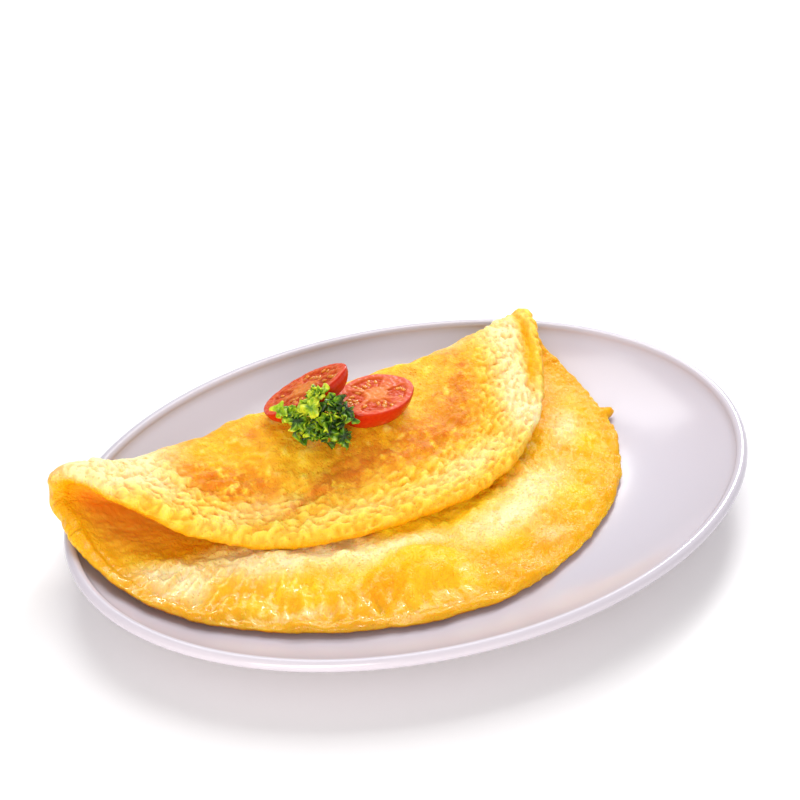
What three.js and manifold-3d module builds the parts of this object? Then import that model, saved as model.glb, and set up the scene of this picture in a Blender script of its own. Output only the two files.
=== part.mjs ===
// A folded omelette on its oval porcelain plate, garnished with two thick
// slices of plum tomato and a sprig of curly parsley. Millimetres, +Z up.
// The origin is the middle of the plate's foot. +X runs along the plate's
// long side and the omelette's fold, and +Y points to the fold, at the back.

import * as THREE from "three";
import { mergeVertices } from "three/addons/utils/BufferGeometryUtils.js";
import Module from "manifold-3d";

// Plate: an oval coupe dish. Sizes are measured along its two half axes.
const PLATE_HALF_LENGTH = 135;
const PLATE_HALF_WIDTH = 102.3;
const RIM_HEIGHT = 22.5;
const LIP_RADIUS = 2.2;
const FLOOR_HEIGHT = 6.5;
const WALL_RUN = 46; // width of the curved wall, from the rim to the flat floor
const WALL_RISE = 16.7; // height the wall would reach right at the rim
const WALL_POWER = 2.2; // how late the wall turns up
const OUTSIDE_SHIFT = 1.2; // the outside repeats the dish this much nearer the rim
const OUTSIDE_DROP = 2.8; // and this much lower
const FOOT_OUTER_INSET = 50;
const FOOT_INNER_INSET = 56;
const FOOT_RECESS = 2; // height of the glazed underside inside the foot ring
const MIDDLE_INSET = 80; // the flat middle of both faces starts here
const WALL_INSETS = [48, 40, 33, 27, 22, 17.5, 13.5, 10, 7]; // rings up the dish's wall
const UNDER_INSETS = [4, 10, 18, 28, 38]; // rings down the outside
const LIP_DEGREES = [10, 50, 90, 135, 180, 225];
const PLATE_STATIONS = 64;

// Omelette: one round sheet of egg, folded over once.
const SHEET_THICKNESS = 7.6;
const EDGE_ROUNDING = 3.6;
const SHEET_CENTRE_X = -14.1;
const SHEET_CENTRE_Q = -22.5; // the fold runs this far behind the sheet's middle
const FOLD_Y = 41.2; // where the bend begins and ends, seen from above
const FLAP_DRAW = 0.975; // plan length of the flap for each mm along the sheet
const REST_GAP = 0.4; // clearance under a piece that rests on another
const LAYER_GAP = 0.5; // clearance between the two layers of the folded sheet
const DRAPE_RISE = 20.6; // the sheet bridges the plate's wall a little
const DRAPE_LIMIT = 25.4; // height at which the sheet passes over the rim
const DRAPE_EASE = 6;

// The flat sheet's radius at even steps of angle, from +X towards the flap.
const SHEET_RADII = [
  113.5, 109.5, 109.5, 106.5, 103, 102.5, 102, 109.5, 114, 107.5, 102, 102, 104, 103.5, 109, 114,
];

// Along the fold, from left to right: the bend's outer radius, and how far
// the flap reaches before it lies on the lower layer.
const FOLD_FIRST_X = -131.7;
const FOLD_STEP_X = 25;
const BEND_RADII = [9.6, 13, 14.4, 15, 15.4, 15.1, 14.7, 15, 15.8, 16.8, 17.4];
const FLAP_REACH = [60, 56, 48, 47, 52, 58, 60, 62, 66, 74, 80];

const SHEET_SECTIONS = 48; // from the right tip to the left one
const TIP_CROWDING = 0.3; // sections lie closer together towards both tips
const LOWER_STEPS = 9; // steps across each stretch of a section
const BEND_STEPS = 9;
const FLAP_STEPS = 8;
const EDGE_STEPS = 4;

// Tomato slices: oval, cut face up, the peel rounding in below it.
const SLICE_STATIONS = 28;
const SLICES = [
  {
    name: "tomato_slice_right",
    centre: [-1.2, 25.1, 43.9], // middle of the cut face
    normal: [0.02, -0.17, 0.985],
    along: [1, 0.02, 0],
    halfLength: 15.8,
    halfWidth: 10.8,
    thickness: 8.2,
    taper: 2.2, // how much less the half axes are at the underside
  },
  {
    name: "tomato_slice_left",
    centre: [-26.4, 34.5, 49.7],
    normal: [-0.3455, 0.2835, 0.895],
    along: [0.8636, -0.277, 0.421],
    halfLength: 17.3,
    halfWidth: 10.6,
    thickness: 7.4,
    taper: 4.2,
  },
];

// Parsley: leaflets on short stalks that spread from one joint.
const SPRIG_JOINT = [-24.7, 21.2, 37.6];
const STALK_RADIUS = 0.75;
const LEAF_THICKNESS = 0.9;
const LEAF_STATIONS = 10;
const LEAF_LOBES = 5;
const LEAFLETS = [
  { at: [-27, 20.8, 55.6], facing: [-0.3, -0.8, 0.5], radius: 4.6 },
  { at: [-31.3, 18.4, 50.8], facing: [-0.7, -0.6, 0.4], radius: 4.8 },
  { at: [-21.4, 17.1, 49.6], facing: [0.5, -0.8, 0.4], radius: 5.2 },
  { at: [-24.9, 18.3, 45.2], facing: [0, -0.8, 0.6], radius: 5.4 },
  { at: [-18.1, 13.9, 43.4], facing: [0.7, -0.6, 0.4], radius: 4.4 },
  { at: [-39.5, 23.7, 47.4], facing: [-0.7, -0.4, 0.6], radius: 4.8 },
  { at: [-37.3, 21.5, 43.9], facing: [-0.4, -0.6, 0.7], radius: 4.8 },
  { at: [-32.1, 19.3, 38.4], facing: [-0.4, -0.7, 0.6], radius: 4.6 },
  { at: [-26.3, 16.3, 37.6], facing: [0, -0.8, 0.6], radius: 4.8 },
  { at: [-19.1, 14.5, 37], facing: [0.4, -0.7, 0.6], radius: 4.8 },
];

const lerp = (a, b, t) => a + (b - a) * t;
const clamp = (value, low, high) => Math.min(Math.max(value, low), high);

// A smooth curve through four neighbouring values, between the middle two.
function catmullRom(t, a, b, c, d) {
  return b + 0.5 * t * (c - a + t * (2 * a - 5 * b + 4 * c - d + t * (3 * (b - c) + d - a)));
}

// A value read from a list of even steps along X.
function alongFold(values, x) {
  const last = values.length - 1;
  const u = clamp((x - FOLD_FIRST_X) / FOLD_STEP_X, 0, last - 1e-6);
  const i = Math.floor(u);
  const at = (k) => values[clamp(k, 0, last)];
  return catmullRom(u - i, at(i - 1), at(i), at(i + 1), at(i + 2));
}

// A value read from a list of even steps round a closed loop.
function roundLoop(values, angle) {
  const count = values.length;
  const u = ((angle / (2 * Math.PI)) % 1) * count;
  const i = Math.floor(u);
  const at = (k) => values[(k + count) % count];
  return catmullRom(u - i, at(i - 1), at(i), at(i + 1), at(i + 2));
}

// A closed body from rings of points, each ring with the same stations. Rings
// run from a middle point on one face to a middle point on the other.
function bodyFromRings(first, rings, last) {
  const stations = rings[0].length;
  const points = [first, ...rings.flat(), last];
  const index = [];
  const at = (ring, station) => 1 + ring * stations + (station % stations);
  for (let s = 0; s < stations; s++) {
    index.push(0, at(0, s), at(0, s + 1));
    for (let r = 0; r + 1 < rings.length; r++) {
      index.push(at(r, s), at(r + 1, s), at(r + 1, s + 1));
      index.push(at(r, s), at(r + 1, s + 1), at(r, s + 1));
    }
    index.push(points.length - 1, at(rings.length - 1, s + 1), at(rings.length - 1, s));
  }
  const geometry = new THREE.BufferGeometry();
  geometry.setAttribute("position", new THREE.Float32BufferAttribute(points.flat(), 3));
  geometry.setIndex(index);
  geometry.computeVertexNormals();
  return geometry;
}

// Plate

// Height of the dish's upper face, an inset from the rim.
function dishHeight(inset) {
  return FLOOR_HEIGHT + WALL_RISE * Math.max(1 - inset / WALL_RUN, 0) ** WALL_POWER;
}

// The plate's section as [inset, height], from the floor over the lip to the foot.
function plateSection() {
  const lipCentre = RIM_HEIGHT - LIP_RADIUS;
  const section = [];
  for (const inset of [MIDDLE_INSET, ...WALL_INSETS]) {
    section.push([inset, dishHeight(inset)]);
  }
  for (const degrees of LIP_DEGREES) {
    const angle = THREE.MathUtils.degToRad(degrees);
    section.push([LIP_RADIUS * (1 + Math.cos(angle)), lipCentre + LIP_RADIUS * Math.sin(angle)]);
  }
  for (const inset of UNDER_INSETS) {
    section.push([inset, dishHeight(inset + OUTSIDE_SHIFT) - OUTSIDE_DROP]);
  }
  section.push([FOOT_OUTER_INSET - 2, FOOT_RECESS], [FOOT_OUTER_INSET, 0], [FOOT_INNER_INSET, 0]);
  section.push([FOOT_INNER_INSET + 2, FOOT_RECESS], [MIDDLE_INSET, FOOT_RECESS]);
  return section;
}

function plateGeometry() {
  const rings = plateSection().map(([inset, height]) =>
    Array.from({ length: PLATE_STATIONS }, (_, s) => {
      const angle = (2 * Math.PI * s) / PLATE_STATIONS;
      const x = (PLATE_HALF_LENGTH - inset) * Math.cos(angle);
      return [x, (PLATE_HALF_WIDTH - inset) * Math.sin(angle), height];
    }),
  );
  return bodyFromRings([0, 0, FLOOR_HEIGHT], rings, [0, 0, FOOT_RECESS]);
}

// Omelette

// Inset of a point from the plate's rim, found by repeated correction.
function insetAt(x, y) {
  let inset = (1 - Math.hypot(x / PLATE_HALF_LENGTH, y / PLATE_HALF_WIDTH)) * PLATE_HALF_WIDTH;
  for (let round = 0; round < 8; round++) {
    inset = clamp(inset, -30, PLATE_HALF_WIDTH - 40);
    const a = PLATE_HALF_LENGTH - inset;
    const b = PLATE_HALF_WIDTH - inset;
    const miss = (x / a) ** 2 + (y / b) ** 2 - 1;
    inset -= miss / Math.max(2 * (x * x) / a ** 3 + 2 * (y * y) / b ** 3, 1e-6);
  }
  return clamp(inset, -30, PLATE_HALF_WIDTH - 40);
}

// Height at which the sheet's underside lies: on the dish, then over the rim.
function restHeight(x, y) {
  const rise = DRAPE_RISE * Math.max(1 - insetAt(x, y) / WALL_RUN, 0) ** WALL_POWER;
  const height = FLOOR_HEIGHT + rise;
  const blend = clamp(0.5 + (0.5 * (height - DRAPE_LIMIT)) / DRAPE_EASE, 0, 1);
  return REST_GAP + lerp(height, DRAPE_LIMIT, blend) - DRAPE_EASE * blend * (1 - blend);
}

// Height of the lower layer's middle: half the sheet's thickness from where it
// rests, measured square to the slope.
function layerHeight(x, y) {
  const step = 1;
  const slopeX = (restHeight(x + step, y) - restHeight(x - step, y)) / (2 * step);
  const slopeY = (restHeight(x, y + step) - restHeight(x, y - step)) / (2 * step);
  return restHeight(x, y) + (SHEET_THICKNESS / 2) * Math.hypot(1, slopeX, slopeY);
}

// Where the middle of the sheet lies, from its flat place: p runs along the
// fold and q across it, negative on the lower layer and positive on the flap.
function sheetMiddle(p, q) {
  const x = p + SHEET_CENTRE_X;
  const bend = alongFold(BEND_RADII, x) - SHEET_THICKNESS / 2;
  const halfBend = (Math.PI / 2) * bend;
  const foldBase = layerHeight(x, FOLD_Y);
  if (q < -halfBend) {
    const y = FOLD_Y + q + halfBend;
    return new THREE.Vector3(x, y, layerHeight(x, y));
  }
  if (q <= halfBend) {
    const turn = q / bend;
    return new THREE.Vector3(x, FOLD_Y + bend * Math.cos(turn), foldBase + bend * (1 + Math.sin(turn)));
  }
  const along = q - halfBend;
  const y = FOLD_Y - along * FLAP_DRAW;
  const lying = layerHeight(x, y) + SHEET_THICKNESS + LAYER_GAP;
  const t = clamp(along / alongFold(FLAP_REACH, x), 0, 1);
  const lift = (1 - t) ** 2 * (1 + 2 * t);
  return new THREE.Vector3(x, y, lerp(lying, foldBase + 2 * bend, lift));
}

// A point of the sheet, set off from its middle towards the outer skin.
function sheetPoint(p, q, offset) {
  const step = 0.5;
  const alongP = sheetMiddle(p + step, q).sub(sheetMiddle(p - step, q));
  const alongQ = sheetMiddle(p, q + step).sub(sheetMiddle(p, q - step));
  const normal = alongQ.cross(alongP).normalize();
  return sheetMiddle(p, q).addScaledVector(normal, offset).toArray();
}

// A point of the sheet's outline, at an angle from +X, with its rounding drawn in.
function outlinePoint(angle, reach) {
  const turn = angle < 0 ? angle + 2 * Math.PI : angle;
  const radius = roundLoop(SHEET_RADII, turn) - EDGE_ROUNDING + reach;
  return [radius * Math.cos(angle), SHEET_CENTRE_Q + radius * Math.sin(angle)];
}

// Shares of the way across the sheet, front to back, closer together in the bend.
function sharesAcross(front, back, bendHalf) {
  const width = back - front;
  const bendStart = clamp((-bendHalf - front) / width, 0.3, 0.56);
  const bendEnd = clamp((bendHalf - front) / width, bendStart + 0.12, 0.8);
  const shares = [];
  for (let i = 0; i < LOWER_STEPS; i++) shares.push((bendStart * i) / LOWER_STEPS);
  for (let i = 0; i < BEND_STEPS; i++) shares.push(lerp(bendStart, bendEnd, i / BEND_STEPS));
  for (let i = 0; i <= FLAP_STEPS; i++) shares.push(lerp(bendEnd, 1, i / FLAP_STEPS));
  return shares;
}

// The sheet's section between two facing outline points: along the outer skin
// to the flap's edge, round it, back along the inner skin and round the front.
function sheetSection(angle) {
  const half = SHEET_THICKNESS / 2;
  const [frontP, frontQ] = outlinePoint(-angle, 0);
  const [backP, backQ] = outlinePoint(angle, 0);
  const bendHalf = (Math.PI / 2) * (alongFold(BEND_RADII, backP + SHEET_CENTRE_X) - half);
  const shares = sharesAcross(frontQ, backQ, bendHalf);
  const turns = Array.from({ length: EDGE_STEPS }, (_, e) => (Math.PI * (e + 1)) / (EDGE_STEPS + 1));
  const skin = (share, offset) => sheetPoint(lerp(frontP, backP, share), lerp(frontQ, backQ, share), offset);
  const edge = (side, turn, offset) => {
    const [p, q] = outlinePoint(side, EDGE_ROUNDING * Math.sin(turn));
    return sheetPoint(p, q, offset);
  };
  return [
    ...shares.map((share) => skin(share, half)),
    ...turns.map((turn) => edge(angle, turn, half * Math.cos(turn))),
    ...shares.reverse().map((share) => skin(share, -half)),
    ...turns.map((turn) => edge(-angle, turn, -half * Math.cos(turn))),
  ];
}

function omeletteGeometry() {
  const sections = [];
  for (let s = 1; s < SHEET_SECTIONS; s++) {
    const share = s / SHEET_SECTIONS;
    sections.push(sheetSection(Math.PI * share - TIP_CROWDING * Math.sin(2 * Math.PI * share)));
  }
  const tip = (angle) => sheetPoint(...outlinePoint(angle, EDGE_ROUNDING), 0);
  return bodyFromRings(tip(0), sections, tip(Math.PI));
}

// Tomato slices

function sliceGeometry({ halfLength, halfWidth, thickness, taper }) {
  const section = [
    [3, 0], // flat cut face, then its rounded edge
    [0.5, -0.1],
    [0, -0.9],
    [0.1, -0.35 * thickness],
    [0.45 * taper, -0.7 * thickness],
    [0.8 * taper, -0.92 * thickness],
    [taper + 0.6, -thickness],
  ];
  const rings = section.map(([inset, depth]) =>
    Array.from({ length: SLICE_STATIONS }, (_, s) => {
      const angle = (2 * Math.PI * s) / SLICE_STATIONS;
      return [(halfLength - inset) * Math.cos(angle), (halfWidth - inset) * Math.sin(angle), depth];
    }),
  );
  return bodyFromRings([0, 0, 0], rings, [0, 0, -thickness]);
}

// A frame at a point, its Z along a normal and its X as near a direction as can be.
function placement(centre, normal, along) {
  const z = new THREE.Vector3(...normal).normalize();
  const y = new THREE.Vector3().crossVectors(z, new THREE.Vector3(...along)).normalize();
  const x = new THREE.Vector3().crossVectors(y, z);
  return new THREE.Matrix4().makeBasis(x, y, z).setPosition(...centre);
}

// Parsley

// One thin wavy leaflet, lobed at its edge, both faces split alike.
function leafGeometry({ at, facing, radius }, turn) {
  const faceRings = (offset, shares) =>
    shares.map((share) =>
      Array.from({ length: LEAF_STATIONS }, (_, s) => {
        const angle = (2 * Math.PI * s) / LEAF_STATIONS;
        const lobe = 1 + 0.22 * Math.cos(LEAF_LOBES * angle) * share;
        const reach = radius * share * lobe;
        const wave = 1.3 * share * Math.sin(3 * angle + turn) - 1.2 * share * share;
        return [reach * Math.cos(angle), reach * Math.sin(angle), wave + offset];
      }),
    );
  const half = LEAF_THICKNESS / 2;
  const rings = [...faceRings(half, [0.5, 1]), ...faceRings(-half, [1, 0.5])];
  const geometry = bodyFromRings([0, 0, half], rings, [0, 0, -half]);
  return geometry.applyMatrix4(placement(at, facing, [Math.cos(turn), Math.sin(turn), 0.2]));
}

// A stalk from the sprig's joint into the middle of a leaflet.
function stalkGeometry(at) {
  const from = new THREE.Vector3(...SPRIG_JOINT);
  const to = new THREE.Vector3(...at);
  const run = to.clone().sub(from);
  const geometry = new THREE.CylinderGeometry(STALK_RADIUS * 0.7, STALK_RADIUS, run.length(), 5);
  const turn = new THREE.Quaternion().setFromUnitVectors(new THREE.Vector3(0, 1, 0), run.normalize());
  return geometry.applyQuaternion(turn).translate(...from.add(to).multiplyScalar(0.5).toArray());
}

const wasm = await Module();
wasm.setup();

function toSolid(geometry) {
  const bare = geometry.clone();
  bare.deleteAttribute("normal");
  bare.deleteAttribute("uv");
  const merged = mergeVertices(bare, 1e-4);
  const vertProperties = new Float32Array(merged.getAttribute("position").array);
  return new wasm.Manifold(
    new wasm.Mesh({ numProp: 3, vertProperties, triVerts: new Uint32Array(merged.index.array) }),
  );
}

function toGeometry(solid) {
  const mesh = solid.getMesh();
  const geometry = new THREE.BufferGeometry();
  geometry.setAttribute("position", new THREE.BufferAttribute(new Float32Array(mesh.vertProperties), 3));
  geometry.setIndex(new THREE.BufferAttribute(new Uint32Array(mesh.triVerts), 1));
  geometry.computeVertexNormals();
  return geometry;
}

function parsleyGeometry() {
  const joint = new THREE.IcosahedronGeometry(1.6, 1).translate(...SPRIG_JOINT);
  let sprig = toSolid(joint);
  LEAFLETS.forEach((leaf, i) => {
    sprig = sprig.add(toSolid(leafGeometry(leaf, i * 2.4))).add(toSolid(stalkGeometry(leaf.at)));
  });
  return toGeometry(sprig);
}

// Assembly

const porcelain = new THREE.MeshStandardMaterial({ color: 0xe2dee6, roughness: 0.12, metalness: 0 });
const egg = new THREE.MeshStandardMaterial({ color: 0xf8c33c, roughness: 0.45, metalness: 0 });
const tomato = new THREE.MeshStandardMaterial({ color: 0xdc4a28, roughness: 0.25, metalness: 0 });
const parsley = new THREE.MeshStandardMaterial({ color: 0x5c9a1e, roughness: 0.5, metalness: 0 });

function named(name, geometry, material) {
  const mesh = new THREE.Mesh(geometry, material);
  mesh.name = name;
  return mesh;
}

const dish = new THREE.Group();
dish.add(named("plate", plateGeometry(), porcelain));
dish.add(named("omelette", omeletteGeometry(), egg));
for (const slice of SLICES) {
  const mesh = named(slice.name, sliceGeometry(slice), tomato);
  placement(slice.centre, slice.normal, slice.along).decompose(mesh.position, mesh.quaternion, mesh.scale);
  dish.add(mesh);
}
dish.add(named("parsley_sprig", parsleyGeometry(), parsley));

export default dish;
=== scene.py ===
"""A folded omelette on its oval porcelain plate, with two thick tomato slices and a sprig of curly parsley.

+X runs along the plate's long side and the fold, +Y points to the fold and +Z up. Sizes are in millimetres
until a mesh is made, and the file follows the dish as it is put together: plate, omelette, tomato, parsley.
"""

import bpy
import numpy as np
from mathutils import Matrix


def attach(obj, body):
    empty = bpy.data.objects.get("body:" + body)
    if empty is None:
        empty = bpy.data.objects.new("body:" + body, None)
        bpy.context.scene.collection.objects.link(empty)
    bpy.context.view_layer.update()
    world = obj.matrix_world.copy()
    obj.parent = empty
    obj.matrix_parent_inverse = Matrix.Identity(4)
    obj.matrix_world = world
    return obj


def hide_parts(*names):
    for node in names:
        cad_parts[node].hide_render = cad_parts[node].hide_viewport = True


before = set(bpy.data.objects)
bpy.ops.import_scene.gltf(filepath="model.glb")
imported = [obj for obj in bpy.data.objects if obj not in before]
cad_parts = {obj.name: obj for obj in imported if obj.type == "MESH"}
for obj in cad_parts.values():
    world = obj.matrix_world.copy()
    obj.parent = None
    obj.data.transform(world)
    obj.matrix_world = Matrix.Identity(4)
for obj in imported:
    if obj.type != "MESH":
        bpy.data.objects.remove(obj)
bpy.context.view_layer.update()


# Plate
# An oval coupe dish of hard-paste porcelain, pressed in a mould, glazed all over and fired. Only the ring
# that it stood on in the kiln is wiped bare.

MM = 0.001
HALF_LENGTH = 135.0
HALF_WIDTH = 102.3
RIM_HEIGHT = 22.5
LIP_RADIUS = 2.2
FLOOR_HEIGHT = 6.5
WALL_RUN = 46.0
WALL_RISE = 16.7
WALL_POWER = 2.2
OUTSIDE_SHIFT = 1.2
OUTSIDE_DROP = 2.8
FOOT_OUTER = 50.0
FOOT_INNER = 56.0
FOOT_RECESS = 2.0
FOOT_ROUNDING = 0.8
FOOT_SLOPE_RUN = 1.6
BARE_HEIGHT = 0.7
FLOOR_INSET = 80.0
WALL_TOP_INSET = 6.2
LIP_TURN = 225
OUTSIDE_INSETS = (3.2, 46.0)
PLATE_STATIONS = 224


def dish_height(inset):
    """Height of the dish at an inset from the rim: a flat floor, then a wall that rises as a power of the
    way out."""
    return FLOOR_HEIGHT + WALL_RISE * np.clip(1 - inset / WALL_RUN, 0, None) ** WALL_POWER


def plate_section():
    """The plate's section as rows of inset and height: floor, wall, rolled lip, outside, rounded foot ring
    and recess."""
    wall = np.linspace(FLOOR_INSET, WALL_TOP_INSET, 60)
    lip = np.radians(np.linspace(0, LIP_TURN, 23))
    outside = np.linspace(*OUTSIDE_INSETS, 26)
    foot = np.radians(np.linspace(0, 90, 5))
    parts = [
        np.stack([wall, dish_height(wall)], 1),
        np.stack([LIP_RADIUS * (1 + np.cos(lip)), RIM_HEIGHT - LIP_RADIUS * (1 - np.sin(lip))], 1),
        np.stack([outside, dish_height(outside + OUTSIDE_SHIFT) - OUTSIDE_DROP], 1),
        np.stack([FOOT_OUTER - FOOT_ROUNDING * np.cos(foot), FOOT_ROUNDING * (1 - np.sin(foot))], 1),
        np.stack([FOOT_INNER + FOOT_ROUNDING * np.sin(foot), FOOT_ROUNDING * (1 - np.cos(foot))], 1),
        np.array([[FOOT_INNER + FOOT_SLOPE_RUN, FOOT_RECESS], [FLOOR_INSET, FOOT_RECESS]]),
    ]
    return np.concatenate(parts)


def closed_body(first, rings, last):
    """Vertices and faces of a closed skin: a fan from the first point, a band of quads between each two rings
    and a fan to the last point. rings is an array of ring, station and xyz."""
    count, stations = rings.shape[:2]
    index = 1 + np.arange(count * stations).reshape(count, stations)
    ahead = np.roll(index, -1, 1)
    quads = np.stack([index[:-1], index[1:], ahead[1:], ahead[:-1]], -1).reshape(-1, 4)
    end = count * stations + 1
    opening = np.stack([np.zeros(stations, int), index[0], ahead[0]], -1)
    closing = np.stack([np.full(stations, end), ahead[-1], index[-1]], -1)
    points = np.concatenate([[first], rings.reshape(-1, 3), [last]])
    return points, quads.tolist() + opening.tolist() + closing.tolist()


def new_piece(name, points, faces, material, slot, replaces=()):
    """Makes a smooth mesh object from millimetre points, finishes it and fixes it to the dish."""
    mesh = bpy.data.meshes.new(name)
    mesh.from_pydata((points * MM).tolist(), [], faces)
    mesh.polygons.foreach_set("use_smooth", np.full(len(mesh.polygons), True))
    mesh.materials.append(material)
    mesh.update()
    piece = bpy.data.objects.new(name, mesh)
    bpy.context.scene.collection.objects.link(piece)
    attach(piece, "root")
    if replaces:
        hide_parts(*replaces)
    return piece


def linear(code):
    """A colour written as sRGB hex, turned to linear light with alpha 1."""
    levels = np.array([int(code[i : i + 2], 16) for i in (1, 3, 5)]) / 255
    light = np.where(levels <= 0.04045, levels / 12.92, ((levels + 0.055) / 1.055) ** 2.4)
    return (*light.tolist(), 1.0)


def add(tree, kind, sockets=None, stops=None, **settings):
    """Adds a shader node: settings are its properties, and stops a ramp's places and colours. sockets gives
    each input a value, the output that feeds it, or a node whose first output in use feeds it."""
    made = tree.nodes.new("ShaderNode" + kind)
    for name, value in settings.items():
        setattr(made, name, value)
    for name, value in (sockets or {}).items():
        if isinstance(value, bpy.types.Node):
            value = next(socket for socket in value.outputs if not socket.is_unavailable)
        if isinstance(value, bpy.types.NodeSocket):
            tree.links.new(value, made.inputs[name])
        else:
            made.inputs[name].default_value = value
    for place, colour in stops or ():
        made.color_ramp.elements.new(place).color = colour
    if stops:
        made.color_ramp.elements.remove(made.color_ramp.elements[0])
        made.color_ramp.elements.remove(made.color_ramp.elements[-1])
    return made


def new_material(name):
    """A material with its node tree emptied but for the output, which is returned with the tree."""
    material = bpy.data.materials.new(name)
    material.use_nodes = True
    tree = material.node_tree
    tree.nodes.clear()
    return material, tree, tree.nodes.new("ShaderNodeOutputMaterial")


def glazed_porcelain():
    """Fired feldspar glaze over white body: a cool white with a sharp reflection, and the faint waves of
    a glaze that ran before it set. The foot ring is bare, chalky bisque."""
    material, tree, output = new_material("glazed hard-paste porcelain")
    place = add(tree, "TexCoord").outputs["Object"]
    run = add(tree, "TexNoise", {"Vector": place, "Scale": 1 / (9 * MM), "Detail": 1.0}).outputs["Fac"]
    bump = add(tree, "Bump", {"Height": run, "Strength": 0.08, "Distance": 0.5 * MM})
    height = add(tree, "SeparateXYZ", {"Vector": place}).outputs["Z"]
    bare = add(tree, "Math", {0: height, 1: BARE_HEIGHT * MM}, operation="LESS_THAN")
    glaze, bisque = linear("#C8C2CC"), linear("#E3DCD2")
    tint = add(tree, "Mix", {"Factor": bare, "A": glaze, "B": bisque}, data_type="RGBA")
    rough = add(tree, "Mix", {"Factor": bare, "A": 0.2, "B": 0.7})
    shader = add(tree, "BsdfPrincipled", {
        "Base Color": tint,
        "Roughness": rough,
        "Normal": bump,
        "IOR": 1.5,
    })
    tree.links.new(shader.outputs[0], output.inputs["Surface"])
    return material


def plate_rings():
    """Each point of the section carried round the oval: half axes less the inset, at an even angle."""
    inset, height = plate_section().T
    angle = np.linspace(0, 2 * np.pi, PLATE_STATIONS, endpoint=False)
    x = (HALF_LENGTH - inset)[:, None] * np.cos(angle)
    y = (HALF_WIDTH - inset)[:, None] * np.sin(angle)
    return np.stack([x, y, np.broadcast_to(height[:, None], x.shape)], -1)


new_piece("plate_porcelain", *closed_body([0, 0, FLOOR_HEIGHT], plate_rings(), [0, 0, FOOT_RECESS]),
          glazed_porcelain(), "porcelain", ["plate"])


# Omelette
# One round sheet of beaten egg, set in a pan and folded over once. The skin that lay on the pan is outside,
# pale at the rim and browned in patches, and the top that set last is inside, moist and lumpy.

SHEET_THICKNESS = 7.6
EDGE_ROUNDING = 3.6
CENTRE_X = -14.1
CENTRE_Q = -22.5
FOLD_Y = 41.2
FLAP_DRAW = 0.975
REST_GAP = 0.4
LAYER_GAP = 0.5
DRAPE_RISE = 20.6
DRAPE_LIMIT = 25.4
DRAPE_EASE = 6.0
SHEET_RADII = np.array([
    113.5, 109.5, 109.5, 106.5, 103, 102.5, 102, 109.5, 112.4, 107.5, 102, 102, 104, 103.5, 109, 114,
])
FOLD_FIRST_X = -131.7
FOLD_STEP_X = 25.0
BEND_RADII = np.array([9.6, 13, 14.4, 15, 15.4, 15.1, 14.7, 15, 15.8, 16.8, 17.4])
FLAP_REACH = np.array([60.0, 56, 48, 47, 52, 58, 60, 62, 66, 74, 80])
INSET_LIMITS = (-30.0, HALF_WIDTH - 40)
NEWTON_STEPS = 8


def catmull_rom(t, a, b, c, d):
    """A cubic through b and c, sloped by a and d, at share t of the way."""
    return b + 0.5 * t * (c - a + t * (2 * a - 5 * b + 4 * c - d + t * (3 * (b - c) + d - a)))


def along_fold(values, x):
    """A value from a list of even steps along X, held at both ends."""
    last = len(values) - 1
    u = np.clip((x - FOLD_FIRST_X) / FOLD_STEP_X, 0, last - 1e-6)
    i = np.floor(u).astype(int)
    near = [values[np.clip(i + k, 0, last)] for k in (-1, 0, 1, 2)]
    return catmull_rom(u - i, *near)


def round_loop(values, angle):
    """A value from a list of even steps round a closed loop."""
    u = np.mod(angle / (2 * np.pi), 1) * len(values)
    i = np.floor(u).astype(int)
    near = [values[(i + k) % len(values)] for k in (-1, 0, 1, 2)]
    return catmull_rom(u - i, *near)


def rim_inset(x, y):
    """How far inside the plate's rim a point lies, by Newton's steps on the oval through it."""
    inset = (1 - np.hypot(x / HALF_LENGTH, y / HALF_WIDTH)) * HALF_WIDTH
    for _ in range(NEWTON_STEPS):
        inset = np.clip(inset, *INSET_LIMITS)
        a, b = HALF_LENGTH - inset, HALF_WIDTH - inset
        miss = (x / a) ** 2 + (y / b) ** 2 - 1
        inset = inset - miss / np.maximum(2 * x * x / a**3 + 2 * y * y / b**3, 1e-6)
    return np.clip(inset, *INSET_LIMITS)


def rest_height(x, y):
    """Height of the sheet's underside: on the dish, then eased over the rim by a smooth minimum."""
    height = FLOOR_HEIGHT + DRAPE_RISE * np.clip(1 - rim_inset(x, y) / WALL_RUN, 0, None) ** WALL_POWER
    blend = np.clip(0.5 + 0.5 * (height - DRAPE_LIMIT) / DRAPE_EASE, 0, 1)
    return REST_GAP + height + (DRAPE_LIMIT - height) * blend - DRAPE_EASE * blend * (1 - blend)


def layer_height(x, y):
    """Height of the lower layer's middle, half a thickness from its rest and square to the slope."""
    slope_x = (rest_height(x + 1, y) - rest_height(x - 1, y)) / 2
    slope_y = (rest_height(x, y + 1) - rest_height(x, y - 1)) / 2
    return rest_height(x, y) + SHEET_THICKNESS / 2 * np.sqrt(1 + slope_x**2 + slope_y**2)


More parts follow.
